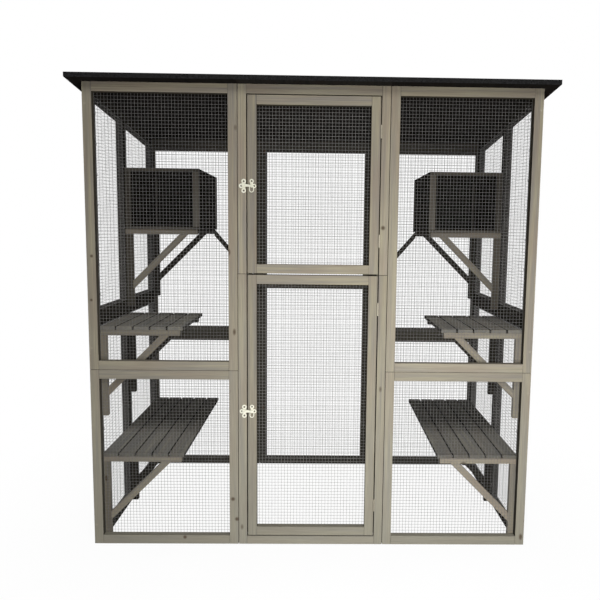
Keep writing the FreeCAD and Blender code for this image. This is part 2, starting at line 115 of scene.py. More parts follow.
def stained_softwood(
    name, olive, grey, ruddy, knot_brown, broad_knots=(), silvered=None, painted_depth_shade=None
):
    """Planed fir under a thin matt stain: soft lengthwise bands of colour, faint rings, the odd brown
    knot, silvering near the ground, and, where asked, painted shade that darkens it towards the back."""
    wood, add = new_finish(name)
    place = add("TexCoord", {}, "Object")
    grain = add("Attribute", {}, "Vector", attribute_name="grain")
    # Each face's tone: a random shade per batten, darker end grain and lighter arrises, with the painted
    # light and shade laid on in lay_grain
    tone = add("Attribute", {}, "Fac", attribute_name="tone")
    # Bands of stain, about 14 mm wide and 400 mm long
    band_place = add("Mapping", {"Vector": grain, "Scale": (2.5, 70.0, 70.0)})
    bands = add("TexNoise", {"Vector": band_place, "Scale": 1.0, "Detail": 2.0})
    band_share = add("MapRange", {"Value": bands, "From Min": 0.36, "From Max": 0.64})
    colour = add("Mix", {0: band_share, 6: paint(olive), 7: paint(grey)}, 2, data_type="RGBA")
    # Patches where the stain soaked in more, about 45 mm wide and 250 mm long
    soak_place = add("Mapping", {"Vector": grain, "Scale": (4.0, 22.0, 22.0)})
    soak = add("TexNoise", {"Vector": soak_place, "Scale": 1.0, "Detail": 3.0})
    soak_share = add("MapRange", {"Value": soak, "From Min": 0.42, "From Max": 0.7, "To Max": 0.75})
    colour = add("Mix", {0: soak_share, 6: colour, 7: paint(ruddy)}, 2, data_type="RGBA")
    if silvered:
        height = add("SeparateXYZ", {"Vector": place}, "Z")
        near_ground = add(
            "MapRange", {"Value": height, "From Max": SILVERED_HEIGHT, "To Min": 0.65, "To Max": 0.0}
        )
        colour = add("Mix", {0: near_ground, 6: colour, 7: paint(silvered)}, 2, data_type="RGBA")
    # Growth rings about 4 mm apart, round a heart that lies beside the batten
    ring_place = add("Mapping", {"Vector": grain, "Scale": (0.05, 1.0, 1.0)})
    rings = add(
        "TexWave",
        {"Vector": ring_place, "Scale": 78.0, "Distortion": 2.4, "Detail": 2.0, "Detail Scale": 0.6},
        "Fac",
        wave_type="RINGS",
        rings_direction="X",
    )
    ring_shade = add("MapRange", {"Value": rings, "To Min": 0.92, "To Max": 1.04})
    # Fibres about 1.5 mm wide and 80 mm long
    fibre_place = add("Mapping", {"Vector": grain, "Scale": (12.0, 650.0, 650.0)})
    fibre = add("TexNoise", {"Vector": fibre_place, "Scale": 1.0, "Detail": 2.0})
    fibre_shade = add(
        "MapRange", {"Value": fibre, "From Min": 0.3, "From Max": 0.7, "To Min": 0.88, "To Max": 1.1}
    )
    lined = add("Math", {0: ring_shade, 1: fibre_shade}, operation="MULTIPLY")
    shade = add("Math", {0: lined, 1: tone}, operation="MULTIPLY")
    # Painted shade: darker from front to back, standing in for the shade deeper inside
    if painted_depth_shade:
        near, far, darkest = painted_depth_shade
        depth = add("SeparateXYZ", {"Vector": place}, "Y")
        depth_darkening = add(
            "MapRange",
            {"Value": depth, "From Min": near, "From Max": far, "To Min": 1.0, "To Max": darkest},
        )
        shade = add("Math", {0: shade, 1: depth_darkening}, operation="MULTIPLY")
    toned = add("VectorMath", {0: colour, "Scale": shade}, operation="SCALE")
    # Knots about 14 mm across, one to every metre or so of batten
    knot_place = add("Mapping", {"Vector": grain, "Scale": (7.0, 14.0, 14.0)})
    knots = add("TexVoronoi", {"Vector": knot_place, "Scale": 1.0}).node.outputs
    core = add(
        "MapRange",
        {"Value": knots["Distance"], "From Min": 0.05, "From Max": 0.12, "To Min": 0.8, "To Max": 0.0},
    )
    kept = add("Math", {0: knots["Color"], 1: 0.68}, operation="GREATER_THAN")
    knot_share = add("Math", {0: core, 1: kept}, operation="MULTIPLY")
    for spot, radius in broad_knots:
        reach = add("VectorMath", {0: place, 1: spot}, "Value", operation="DISTANCE")
        rim = {"From Min": 0.35 * radius, "From Max": radius, "To Min": 0.85, "To Max": 0.0}
        core = add("MapRange", {"Value": reach, **rim})
        knot_share = add("Math", {0: knot_share, 1: core}, operation="MAXIMUM")
    knotted = add("Mix", {0: knot_share, 6: toned, 7: paint(knot_brown)}, 2, data_type="RGBA")
    matt = add(
        "MapRange", {"Value": soak, "From Min": 0.3, "From Max": 0.7, "To Min": 0.66, "To Max": 0.84}
    )
    raised = add("Bump", {"Height": lined, "Strength": 0.35, "Distance": 0.0006})
    surface = add(
        "BsdfPrincipled",
        {
            "Base Color": knotted,
            "Roughness": matt,
            "Normal": raised,
            "IOR": 1.5,
            "Specular IOR Level": 0.0,
        },
    )
    add("OutputMaterial", {"Surface": surface})
    return wood


def take_up(piece):
    """Selects one piece alone, ready to be worked on."""
    bpy.ops.object.select_all(action="DESELECT")
    bpy.context.view_layer.objects.active = piece
    piece.select_set(True)


def sawn_block(middle, size, turn=(0.0, 0.0, 0.0)):
    """A square-edged block, turned about its middle."""
    bpy.ops.object.select_all(action="DESELECT")
    bpy.ops.mesh.primitive_cube_add(size=1.0, location=middle, rotation=turn)
    block = bpy.context.object
    block.scale = size
    bpy.ops.object.transform_apply(location=True, rotation=True, scale=True)
    return block


def saw_and_ease(piece, cuts, arris=None):
    """Saws a piece off at each plane, and eases all its edges."""
    take_up(piece)
    bpy.ops.object.mode_set(mode="EDIT")
    for point, normal in cuts:
        bpy.ops.mesh.select_all(action="SELECT")
        bpy.ops.mesh.bisect(plane_co=point, plane_no=normal, use_fill=True, clear_outer=True)
    if arris:
        bpy.ops.mesh.select_all(action="SELECT")
        bpy.ops.mesh.bevel(offset=arris, segments=ARRIS_FACETS, affect="EDGES")
    bpy.ops.object.mode_set(mode="OBJECT")


def timber(low, high, along, cuts=(), turn=0.0, outward=(), shade=1.0, inner_shade=PAINTED_INNER_SHADE):
    """One batten between two corners, turned about its middle in the wall's plane, then cut and eased."""
    low = Vector(low)
    high = Vector(high)
    batten = sawn_block((low + high) / 2, high - low, (0.0, turn, 0.0))
    saw_and_ease(batten, cuts, EASED_ARRIS)
    lay_grain(batten, Matrix.Rotation(turn, 3, "Y") @ Vector(along), outward, shade, inner_shade)
    return batten


def lay_grain(batten, along, outward, shade, inner_shade):
    """Stores each point's place along and across the grain, from a heart beside this batten, and the
    tone of each face: end grain drinks more stain, arrises wear, and faces not facing out get painted
    shade."""
    points = np.empty(3 * len(batten.data.vertices))
    batten.data.vertices.foreach_get("co", points)
    points = points.reshape(-1, 3)
    middle = 0.5 * (points.min(axis=0) + points.max(axis=0))
    across = along.orthogonal().normalized()
    axes = np.array([along, across, along.cross(across)])
    heart = [joiner.uniform(*reach) for reach in HEART_REACH]
    grain = (points - middle) @ axes.T + np.array(heart)
    laid = batten.data.attributes.new("grain", "FLOAT_VECTOR", "POINT")
    laid.data.foreach_set("vector", grain.astype(np.float32).ravel())
    batten_tone = shade * joiner.uniform(*BATTEN_TONES)
    tones = []
    for face in batten.data.polygons:
        tone = batten_tone
        if abs(face.normal.dot(along)) > END_GRAIN_FROM:
            tone *= END_GRAIN_SHADE
        elif max(abs(part) for part in axes @ np.array(face.normal)) < WORN_ARRIS_BELOW:
            tone *= WORN_ARRIS_SHADE
        # Painted shade: a face keeps its full tone only as far as it looks towards one of the outward
        # sides
        if outward:
            lit_share = max(0.0, max(face.normal.dot(Vector(side)) for side in outward))
            tone *= inner_shade + (1.0 - inner_shade) * lit_share
        tones.append(tone)
    toned = batten.data.attributes.new("tone", "FLOAT", "FACE")
    toned.data.foreach_set("value", tones)


def assemble(parts, name, material):
    """Joins the parts of one piece under its name and finish."""
    bpy.ops.object.select_all(action="DESELECT")
    for part in parts:
        part.select_set(True)
    bpy.context.view_layer.objects.active = parts[0]
    if len(parts) > 1:
        bpy.ops.object.join()
    piece = bpy.context.view_layer.objects.active
    piece.name = name
    piece.data.name = name
    piece.data.materials.clear()
    piece.data.materials.append(material)
    return piece


def cross_members(node, stile, sill, head, cuts=(), both_sides=False, inner_shade=PAINTED_INNER_SHADE):
    """The battens of a panel that faces front or back, and the window between them. A door leaf is
    spared the painted shade on its back face as well as its front."""
    low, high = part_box(node)
    at_front = low.y < 0.0
    outward = (TO_FRONT if at_front else TO_BACK,)
    if both_sides:
        outward += (TO_BACK if at_front else TO_FRONT,)
    left_outward = outward + ((TO_LEFT,) if low.x < CORNER_LINES[0] else ())
    right_outward = outward + ((TO_RIGHT,) if high.x > CORNER_LINES[1] else ())
    # Painted light: the top faces of the front sills are spared part of the painted shade
    sill_outward = outward + ((SILL_TOP_LIGHT,) if at_front else ())
    left = low.x + stile
    right = high.x - stile
    foot = low.z + PANEL_JOINT if low.z > 0.0 else low.z
    lengths = [
        ((low.x + PANEL_JOINT, low.y, foot), (left, high.y, high.z), UPWARD, cuts, left_outward),
        ((right, low.y, foot), (high.x - PANEL_JOINT, high.y, high.z), UPWARD, cuts, right_outward),
    ]
    if sill:
        lengths.append(((left, low.y, foot), (right, high.y, low.z + sill), TO_RIGHT, (), sill_outward))
    if head:
        lengths.append(((left, low.y, high.z - head), (right, high.y, high.z), TO_RIGHT, cuts, outward))
    battens = []
    # Painted shade: each batten is darkened on every face that doesn't look to one of its outward sides
    for start, end, along, ends_cut, lit_sides in lengths:
        battens.append(timber(start, end, along, ends_cut, outward=lit_sides, inner_shade=inner_shade))
    return battens, (left, right, low.z + sill, high.z - head)


def side_members(node, stiles, cuts):
    """The battens of a side wall's panel and the window between them. The upper head rail runs with
    the roof."""
    low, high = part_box(node)
    outward = (TO_LEFT if low.x < 0.0 else TO_RIGHT,)
    near = low.y + stiles[0]
    far = high.y - stiles[1]
    foot = low.z + PANEL_JOINT if low.z > 0.0 else low.z
    lengths = [
        ((low.x, low.y + PANEL_JOINT, foot), (high.x, near, high.z), UPWARD, cuts),
        ((low.x, far, foot), (high.x, high.y - PANEL_JOINT, high.z), UPWARD, cuts),
        ((low.x, near, foot), (high.x, far, low.z + RAIL_FACE), TO_BACK, ()),
    ]
    head_high = (high.x, far, high.z)
    if cuts:
        falling = (0.0, math.cos(ROOF_FALL), -math.sin(ROOF_FALL))
        head_low = high.z - WALL_HEAD_FACE - (high.y - low.y) * math.tan(ROOF_FALL)
        lengths.append(((low.x, near, head_low), head_high, falling, [UNDER_ROOF, OVER_WALL_HEAD]))
    else:
        lengths.append(((low.x, near, high.z - RAIL_FACE), head_high, TO_BACK, ()))
    battens = []
    for start, end, along, ends_cut in lengths:
        # Painted shade: the side walls' inner faces are darkened the most of all the panels
        battens.append(
            timber(start, end, along, ends_cut, outward=outward, inner_shade=WALL_PAINTED_INNER_SHADE)
        )
    return battens, (near, far, low.z + RAIL_FACE, high.z - RAIL_FACE)


FRONT_KNOTS = [
    ((0.2686, -0.455, 1.2792), 0.011),
    ((-0.3126, -0.455, 0.1893), 0.011),
    ((-0.2969, -0.455, 0.1053), 0.011),
    ((-0.5069, -0.455, 0.0283), 0.010),
    ((-0.8495, -0.455, 1.1588), 0.008),
    ((-0.8552, -0.455, 0.9888), 0.007),
]
frame_wood = stained_softwood(
    "stained_fir_frame", "#97907c", "#837d74", "#8b7f70", "#4f4033", FRONT_KNOTS, "#8b897d"
)
WALL_STILES = {"front": (STILE_FACE, MIDDLE_STILE_FACE), "rear": (MIDDLE_STILE_FACE, STILE_FACE)}
BACK_HEADS = {"lower": RAIL_FACE, "upper": BACK_HEAD_FACE}
panels = {}
windows = {}
for side in ("left", "right"):
    for tier, cuts in TIER_CUTS.items():
        name = f"front_{side}_{tier}"
        panels[name], windows[name] = cross_members(
            f"{name}_frame", STILE_FACE, RAIL_FACE, RAIL_FACE, cuts
        )
        for bay, stiles in WALL_STILES.items():
            name = f"{side}_{bay}_{tier}"
            panels[name], windows[name] = side_members(f"{name}_frame", stiles, cuts)
for column in ("left", "centre", "right"):
    # Painted shade: the centre column of the back gets its own, darker share on its inner faces
    inner_shade = BACK_PAINTED_INNER_SHADE if column == "centre" else PAINTED_INNER_SHADE
    for tier, cuts in TIER_CUTS.items():
        name = f"back_{column}_{tier}"
        panels[name], windows[name] = cross_members(
            f"{name}_frame", STILE_FACE, RAIL_FACE, BACK_HEADS[tier], cuts, inner_shade=inner_shade
        )
for name, battens in panels.items():
    panel = assemble(battens, f"{name}_panel", frame_wood)
    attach(panel, "cage")
    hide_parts(f"{name}_frame")

# Door jambs: two open frames of the same batten in the middle of the front, the lower one with a sill and
# the upper one with a head, screwed to the panels beside them.
JAMB_FACE = 0.034
for tier, sill, head in (("lower", JAMB_FACE, 0.0), ("upper", 0.0, RAIL_FACE)):
    node = f"door_{tier}_jamb_frame"
    battens = cross_members(node, JAMB_FACE, sill, head, TIER_CUTS[tier])[0]
    jambs = assemble(battens, f"door_{tier}_jambs", frame_wood)
    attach(jambs, "cage")
    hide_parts(node)

# Door leaves: four battens each, jointed flush, with a tall lower leaf and a shorter upper one. They hang
# on the right jamb and lie level with the front of the cage.
DOOR_BATTEN_FACE = 0.036
for tier in TIER_CUTS:
    node = f"{tier}_door_frame"
    battens, windows[f"{tier}_door"] = cross_members(
        node, DOOR_BATTEN_FACE, DOOR_BATTEN_FACE, DOOR_BATTEN_FACE, both_sides=True
    )
    leaf = assemble(battens, f"{tier}_door_leaf", frame_wood)
    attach(leaf, f"{tier}_door")
    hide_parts(node)

# Door stops: thin fir beads nailed inside the two jambs, which the closed leaves rest against and which
# cover the gaps beside them.
STOP_LAP = 0.005
STOP_WIDTH = 0.016
STOP_THICKNESS = 0.006
STOP_CLEARANCE = 0.0006
jamb_low, jamb_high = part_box("door_lower_jamb_frame")
stop_foot = jamb_low.z + JAMB_FACE
stop_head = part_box("upper_door_frame")[1].z
stop_front = jamb_high.y + STOP_CLEARANCE
beads = []
for edge, hand in ((jamb_low.x + JAMB_FACE, -1.0), (jamb_high.x - JAMB_FACE, 1.0)):
    bead_x = (edge - hand * STOP_LAP, edge + hand * (STOP_WIDTH - STOP_LAP))
    bead_low = (min(bead_x), stop_front, stop_foot)
    bead_high = (max(bead_x), stop_front + STOP_THICKNESS, stop_head)
    # Painted shade: each bead keeps its full tone only on its front
    beads.append(timber(bead_low, bead_high, UPWARD, outward=(TO_FRONT,)))
stops = assemble(beads, "door_stop_beads", frame_wood)
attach(stops, "cage")

# Welded mesh: 1 mm galvanised wire on a half-inch grid, thinner in the side walls and with painted
# light in the doors, cut to lap 6 mm over the timber and stapled to its inner side, level wires on the
# inside.
WIRE_GRID = 0.0127
WIRE_RADIUS = 0.00054
SIDE_WIRE_RADIUS = 0.00042
WIRE_SIDES = 6
WIRE_SMOOTHING = math.radians(70)
TIMBER_LAP = 0.006


def galvanised_wire(name, dull, pale):
    """Hot-dipped zinc that has dulled: mid grey, a soft broken sheen and paler blooms about 6 mm long."""
    zinc, add = new_finish(name)
    place = add("TexCoord", {}, "Object")
    bloom = add("TexNoise", {"Vector": place, "Scale": 160.0, "Detail": 3.0})
    spread = add("MapRange", {"Value": bloom, "From Min": 0.35, "From Max": 0.65})
    colour = add("Mix", {0: spread, 6: paint(dull), 7: paint(pale)}, 2, data_type="RGBA")
    rough = add("MapRange", {"Value": bloom, "To Min": 0.6, "To Max": 0.82})
    surface = add(
        "BsdfPrincipled",
        {"Base Color": colour, "Roughness": rough, "Metallic": 0.3, "Specular IOR Level": 0.2},
    )
    add("OutputMaterial", {"Surface": surface})
    return zinc


def wire_row(start, reach, step, gap, radius):
    """One wire from a start point, repeated side by side until it has crossed the gap."""
    bpy.ops.object.select_all(action="DESELECT")
    bays = int(gap / WIRE_GRID)
    first = start + step * 0.5 * (gap - bays * WIRE_GRID)
    bpy.ops.mesh.primitive_cylinder_add(
        vertices=WIRE_SIDES,
        radius=radius,
        depth=reach.length,
        location=first + reach / 2,
        rotation=reach.to_track_quat("Z", "Y").to_euler(),
    )
    wire = bpy.context.object
    bpy.ops.object.transform_apply(location=True, rotation=True, scale=True)
    repeat = wire.modifiers.new("repeat", "ARRAY")
    repeat.use_relative_offset = False
    repeat.use_constant_offset = True
    repeat.constant_offset_displace = step * WIRE_GRID
    repeat.count = bays + 1
    bpy.ops.object.modifier_apply(modifier=repeat.name)
    bpy.ops.object.shade_smooth_by_angle(angle=WIRE_SMOOTHING)
    return wire


def mesh_sheet(window, across, origin, inward, radius, sloped):
    """Upright and level wires over one window. Across is the wall's level direction, and inward points
    to its inner side."""
    start, end, bottom, top = window
    across = Vector(across)
    inward = Vector(inward)
    up = Vector(UPWARD)
    width = end - start + 2 * TIMBER_LAP
    height = top - bottom + 2 * TIMBER_LAP
    corner = Vector(origin) + across * (start - TIMBER_LAP) + up * (bottom - TIMBER_LAP)
    uprights = wire_row(corner + inward * radius, up * height, across, width, radius)
    levels = wire_row(corner + inward * 3 * radius, across * width, up, height, radius)
    if sloped:
        for wires in (uprights, levels):
            saw_and_ease(wires, [(OVER_WALL_HEAD[0] + up * TIMBER_LAP, ROOF_NORMAL)])
    return [uprights, levels]


zinc_wire = galvanised_wire("dull_galvanised_wire", "#686664", "#878583")
# Painted light: the doors' wire is the same zinc, given a lighter colour
door_wire = galvanised_wire("painted_light_door_wire", "#7d7b78", "#9d9b98")
panes = []
sheet_bodies = {}
for side, inward in (("left", TO_RIGHT), ("right", TO_LEFT)):
    node = f"front_{side}_mesh"
    sheet_bodies[node] = "cage"
    inner = (0.0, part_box(node)[0].y, 0.0)
    for tier in TIER_CUTS:
        window = windows[f"front_{side}_{tier}"]
        panes.append((node, window, TO_RIGHT, inner, TO_BACK, WIRE_RADIUS, False))
    node = f"{side}_wall_mesh"
    sheet_bodies[node] = "cage"
    wall_low, wall_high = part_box(node)
    inner = (wall_low.x if side == "left" else wall_high.x, 0.0, 0.0)
    for bay in WALL_STILES:
        for tier in TIER_CUTS:
            window = windows[f"{side}_{bay}_{tier}"]
            panes.append((node, window, TO_BACK, inner, inward, SIDE_WIRE_RADIUS, tier == "upper"))
for column in ("left", "centre", "right"):
    node = f"back_{column}_mesh"
    sheet_bodies[node] = "cage"
    inner = (0.0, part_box(node)[1].y, 0.0)
    for tier in TIER_CUTS:
        window = windows[f"back_{column}_{tier}"]
        panes.append((node, window, TO_RIGHT, inner, TO_FRONT, WIRE_RADIUS, False))
for tier in TIER_CUTS:
    node = f"{tier}_door_mesh"
    sheet_bodies[node] = f"{tier}_door"
    inner = (0.0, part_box(node)[0].y, 0.0)
    panes.append((node, windows[f"{tier}_door"], TO_RIGHT, inner, TO_BACK, WIRE_RADIUS, False))
for node, body in sheet_bodies.items():
    wires = []
    for pane in panes:
        if pane[0] == node:
            wires += mesh_sheet(*pane[1:])
    sheet = assemble(wires, f"{node}_wires", zinc_wire if body == "cage" else door_wire)
    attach(sheet, body)
    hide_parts(node)

# Butt hinges: folded steel leaves in the gap beside each door, rolled into knuckles round a pin that
# stands in front of the timber, all zinc plated.


def plated_steel(name, dull, bright):
    """Zinc plate on pressed steel: satin, with faint rubbed streaks about 1 mm wide down the knuckles."""
    steel, add = new_finish(name)
    place = add("TexCoord", {}, "Object")
    streak_place = add("Mapping", {"Vector": place, "Scale": (900.0, 900.0, 90.0)})
    streaks = add("TexNoise", {"Vector": streak_place, "Scale": 1.0, "Detail": 2.0})
    colour = add("Mix", {0: streaks, 6: paint(dull), 7: paint(bright)}, 2, data_type="RGBA")
    rough = add("MapRange", {"Value": streaks, "To Min": 0.4, "To Max": 0.6})
    surface = add("BsdfPrincipled", {"Base Color": colour, "Roughness": rough, "Metallic": 1.0})
    add("OutputMaterial", {"Surface": surface})
    return steel


plate_steel = plated_steel("zinc_plated_steel", "#8a8476", "#a39d8d")
for node in ("hinge_jamb_leaves", "lower_door_hinge_leaves", "upper_door_hinge_leaves", "hinge_pins"):
    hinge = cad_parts[node]
    hinge.data.materials.clear()
    hinge.data.materials.append(plate_steel)

# Hook latches: die-cast plates with round screw lobes, one with a stud on the jamb and one with a pivot
# on the door, and a cast hook with a pull loop, all in cream enamel and held by countersunk screws.
LATCH_HEIGHTS = {"lower": 0.552, "upper": 1.432}
JAMB_LATCH_X = -0.2656
DOOR_LATCH_X = -0.2355
PLATE_THICKNESS = 0.0025
PLATE_TO_HOOK = 0.002
HOOK_THICKNESS = 0.0035
FRONT_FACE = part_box("front_left_lower_frame")[0].y
PLATE_FRONT = FRONT_FACE - PLATE_THICKNESS
HOOK_BACK = PLATE_FRONT - PLATE_TO_HOOK
HOOK_FRONT = HOOK_BACK - HOOK_THICKNESS
JAMB_LOBES = [(0.0, 0.0175), (0.0, -0.0175), (-0.0095, 0.0)]
DOOR_LOBES = [(0.0, 0.0185), (0.0095, 0.0)]
JAMB_LOBE_RADIUS = 0.009
DOOR_LOBE_RADIUS = 0.008
LATCH_WAIST = 0.0055
EYE_RADIUS = 0.006
STUD_RADIUS = 0.003
STUD_PROUD = 0.0015
PIVOT_RADIUS = 0.0026
BORE_CLEARANCE = 0.00005
PIVOT_HEAD_RADIUS = 0.0046
PIVOT_HEAD_HEIGHT = 0.0015
HOOK_BAR_DEPTH = 0.0065
HOOK_NOSE_LENGTH = 0.004
HOOK_NOSE_DROP = 0.005
HOOK_CLEARANCE = 0.0004
PULL_LENGTH = 0.0245
PULL_RADIUS = 0.009
PULL_BAR = 0.003
SCREW_HEAD_RADIUS = 0.0034
SCREW_HEAD_DEPTH = 0.0012
SCREW_SLOT = 0.00045
SLOT_REACH = 0.6 * SCREW_HEAD_RADIUS
SLOT_DEPTH = 0.0007
COUNTERSINK_DEPTH = 0.0018
CAST_EDGE = 0.0006
CAST_SIDES = 32
ROUNDED_FROM = math.radians(40)
CAST_SMOOTHING = math.radians(35)
PAST = 0.001


def cream_enamel():
    """Stoved cream enamel over a die casting: glossy, slightly orange-peeled, greyer in clouds."""
    enamel, add = new_finish("cream_enamel_casting")
    place = add("TexCoord", {}, "Object")
    # Clouds about 8 mm across and peel about 1 mm across
    cloud = add("TexNoise", {"Vector": place, "Scale": 120.0, "Detail": 3.0})
    peel = add("TexNoise", {"Vector": place, "Scale": 900.0, "Detail": 1.0})
    spread = add("MapRange", {"Value": cloud, "From Min": 0.35, "From Max": 0.65})
    colour = add("Mix", {0: spread, 6: paint("#eae8d8"), 7: paint("#dedcc8")}, 2, data_type="RGBA")
    rough = add("MapRange", {"Value": cloud, "To Min": 0.22, "To Max": 0.42})
    skin = add("Bump", {"Height": peel, "Strength": 0.2, "Distance": 0.0002})
    surface = add(
        "BsdfPrincipled", {"Base Color": colour, "Roughness": rough, "Normal": skin, "IOR": 1.5}
    )
    add("OutputMaterial", {"Surface": surface})
    return enamel


def cast_disc(x, z, radius, front, back):
    """A round of casting that stands out from the timber."""
    bpy.ops.object.select_all(action="DESELECT")
    bpy.ops.mesh.primitive_cone_add(
        vertices=CAST_SIDES,
        radius1=radius,
        radius2=radius,
        depth=back - front,
        location=(x, 0.5 * (front + back), z),
        rotation=(math.radians(90), 0.0, 0.0),
    )
    bpy.ops.object.transform_apply(location=True, rotation=True, scale=True)
    return bpy.context.object


def cast_block(x_ends, z_ends, front, back):
    """A square-edged length of casting."""
    low = Vector((min(x_ends), front, min(z_ends)))
    high = Vector((max(x_ends), back, max(z_ends)))
    return sawn_block((low + high) / 2, high - low)


def cast_with(piece, others, operation):
    """Adds the other forms to a casting, or takes them out of it."""
    take_up(piece)
    for other in others:
        change = piece.modifiers.new("form", "BOOLEAN")
        change.object = other
        change.operation = operation
        change.solver = "EXACT"
        bpy.ops.object.modifier_apply(modifier=change.name)
        bpy.data.objects.remove(other)


def soften_casting(piece):
    """Rounds the sharp edges as a mould and its enamel do."""
    take_up(piece)
    rounding = piece.modifiers.new("rounding", "BEVEL")
    rounding.width = CAST_EDGE
    rounding.segments = ARRIS_FACETS
    rounding.limit_method = "ANGLE"
    rounding.angle_limit = ROUNDED_FROM
    bpy.ops.object.modifier_apply(modifier=rounding.name)
    bpy.ops.object.shade_smooth_by_angle(angle=CAST_SMOOTHING)


def latch_plate(x, z, lobes, radius):
    """A plate with an arm to each round lobe, and a countersunk hole through every lobe."""
    plate = cast_disc(x, z, EYE_RADIUS, PLATE_FRONT, FRONT_FACE)
    hole_radius = SCREW_HEAD_RADIUS + CAST_EDGE
    hole_ends = (PLATE_FRONT - PAST, PLATE_FRONT + COUNTERSINK_DEPTH)
    forms = []
    holes = []
    for across, rise in lobes:
        arm_x = (x - LATCH_WAIST, x + LATCH_WAIST) if across == 0 else (x, x + across)
        arm_z = (z - LATCH_WAIST, z + LATCH_WAIST) if rise == 0 else (z, z + rise)
        forms.append(cast_block(arm_x, arm_z, PLATE_FRONT, FRONT_FACE))
        forms.append(cast_disc(x + across, z + rise, radius, PLATE_FRONT, FRONT_FACE))
        holes.append(cast_disc(x + across, z + rise, hole_radius, *hole_ends))
    cast_with(plate, forms, "UNION")
    cast_with(plate, holes, "DIFFERENCE")
    return plate


def cross_screw(x, z, front):
    """A small countersunk screw head with a cross recess."""
    head = cast_disc(x, z, SCREW_HEAD_RADIUS, front, front + SCREW_HEAD_DEPTH)
    long_x = (x - SLOT_REACH, x + SLOT_REACH)
    long_z = (z - SLOT_REACH, z + SLOT_REACH)
    slot_ends = (front - PAST, front + SLOT_DEPTH)
    slots = [
        cast_block(long_x, (z - SCREW_SLOT, z + SCREW_SLOT), *slot_ends),
        cast_block((x - SCREW_SLOT, x + SCREW_SLOT), long_z, *slot_ends),
    ]
    cast_with(head, slots, "DIFFERENCE")
    return head


def lobe_screws(x, z, lobes):
    """A screw in every lobe of a plate, its head a little below the hole's rim."""
    return [cross_screw(x + across, z + rise, PLATE_FRONT + CAST_EDGE) for across, rise in lobes]


enamel = cream_enamel()
screw_steel = plated_steel("tarnished_screw_steel", "#4d4841", "#6a645a")
jamb_plates = []
jamb_screws = []
for tier, z in LATCH_HEIGHTS.items():
    plate = latch_plate(JAMB_LATCH_X, z, JAMB_LOBES, JAMB_LOBE_RADIUS)
    stud = cast_disc(JAMB_LATCH_X, z, STUD_RADIUS, HOOK_FRONT - STUD_PROUD, FRONT_FACE)
    cast_with(plate, [stud], "UNION")
    soften_casting(plate)
    jamb_plates.append(plate)
    jamb_screws += lobe_screws(JAMB_LATCH_X, z, JAMB_LOBES)

    door_plate = latch_plate(DOOR_LATCH_X, z, DOOR_LOBES, DOOR_LOBE_RADIUS)
    pivot_tip = HOOK_FRONT - HOOK_CLEARANCE
    pivot = cast_disc(DOOR_LATCH_X, z, PIVOT_RADIUS, pivot_tip, FRONT_FACE)
    pivot_head = cast_disc(DOOR_LATCH_X, z, PIVOT_HEAD_RADIUS, pivot_tip - PIVOT_HEAD_HEIGHT, pivot_tip)
    cast_with(door_plate, [pivot, pivot_head], "UNION")
    soften_casting(door_plate)
    door_plate = assemble([door_plate], f"{tier}_door_latch_casting", enamel)
    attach(door_plate, f"{tier}_door")
    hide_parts(f"{tier}_door_latch_plate")
    door_screws = lobe_screws(DOOR_LATCH_X, z, DOOR_LOBES)
    door_screws = assemble(door_screws, f"{tier}_door_latch_screws", screw_steel)
    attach(door_screws, f"{tier}_door")

    notch_top = z + STUD_RADIUS + HOOK_CLEARANCE
    bar_top = notch_top + HOOK_BAR_DEPTH
    shank_top = z + 0.5 * HOOK_BAR_DEPTH
    shank_low = z - 0.5 * HOOK_BAR_DEPTH
    nose_inner = JAMB_LATCH_X - STUD_RADIUS - HOOK_CLEARANCE
    nose_outer = nose_inner - HOOK_NOSE_LENGTH
    shank_end = JAMB_LATCH_X + STUD_RADIUS + HOOK_CLEARANCE
    hook = cast_block((nose_outer, DOOR_LATCH_X), (shank_low, bar_top), HOOK_FRONT, HOOK_BACK)
    slope = Vector((bar_top - shank_top, 0.0, DOOR_LATCH_X - shank_end))
    saw_and_ease(hook, [((shank_end, 0.0, bar_top), slope)])
    below_nose = notch_top - HOOK_NOSE_DROP
    through = (HOOK_FRONT - PAST, HOOK_BACK + PAST)
    gaps = [
        cast_block((nose_inner, shank_end), (shank_low - PAST, notch_top), *through),
        cast_block((nose_outer - PAST, shank_end - PAST), (shank_low - PAST, below_nose), *through),
    ]
    cast_with(hook, gaps, "DIFFERENCE")
    bend = z - PULL_LENGTH + PULL_RADIUS
    loop_x = (DOOR_LATCH_X - PULL_RADIUS, DOOR_LATCH_X + PULL_RADIUS)
    loop = cast_block(loop_x, (bend, z), HOOK_FRONT, HOOK_BACK)
    cast_with(loop, [cast_disc(DOOR_LATCH_X, bend, PULL_RADIUS, HOOK_FRONT, HOOK_BACK)], "UNION")
    opening_radius = PULL_RADIUS - PULL_BAR
    opening_x = (DOOR_LATCH_X - opening_radius, DOOR_LATCH_X + opening_radius)
    opening = cast_block(opening_x, (bend, z + PAST), *through)
    opening_end = cast_disc(DOOR_LATCH_X, bend, opening_radius, *through)
    cast_with(loop, [opening, opening_end], "DIFFERENCE")
    eye = cast_disc(DOOR_LATCH_X, z, EYE_RADIUS, HOOK_FRONT, PLATE_FRONT - HOOK_CLEARANCE)
    cast_with(hook, [loop, eye], "UNION")
    bore = cast_disc(DOOR_LATCH_X, z, PIVOT_RADIUS + BORE_CLEARANCE, HOOK_FRONT - PAST, PLATE_FRONT)
    cast_with(hook, [bore], "DIFFERENCE")
    soften_casting(hook)
    hook = assemble([hook], f"{tier}_hook_casting", enamel)
    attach(hook, f"{tier}_hook")
    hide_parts(f"{tier}_latch_hook")
jamb_plates = assemble(jamb_plates, "jamb_latch_castings", enamel)
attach(jamb_plates, "cage")
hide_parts("latch_jamb_plates")
jamb_screws = assemble(jamb_screws, "jamb_latch_screws", screw_steel)
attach(jamb_screws, "cage")

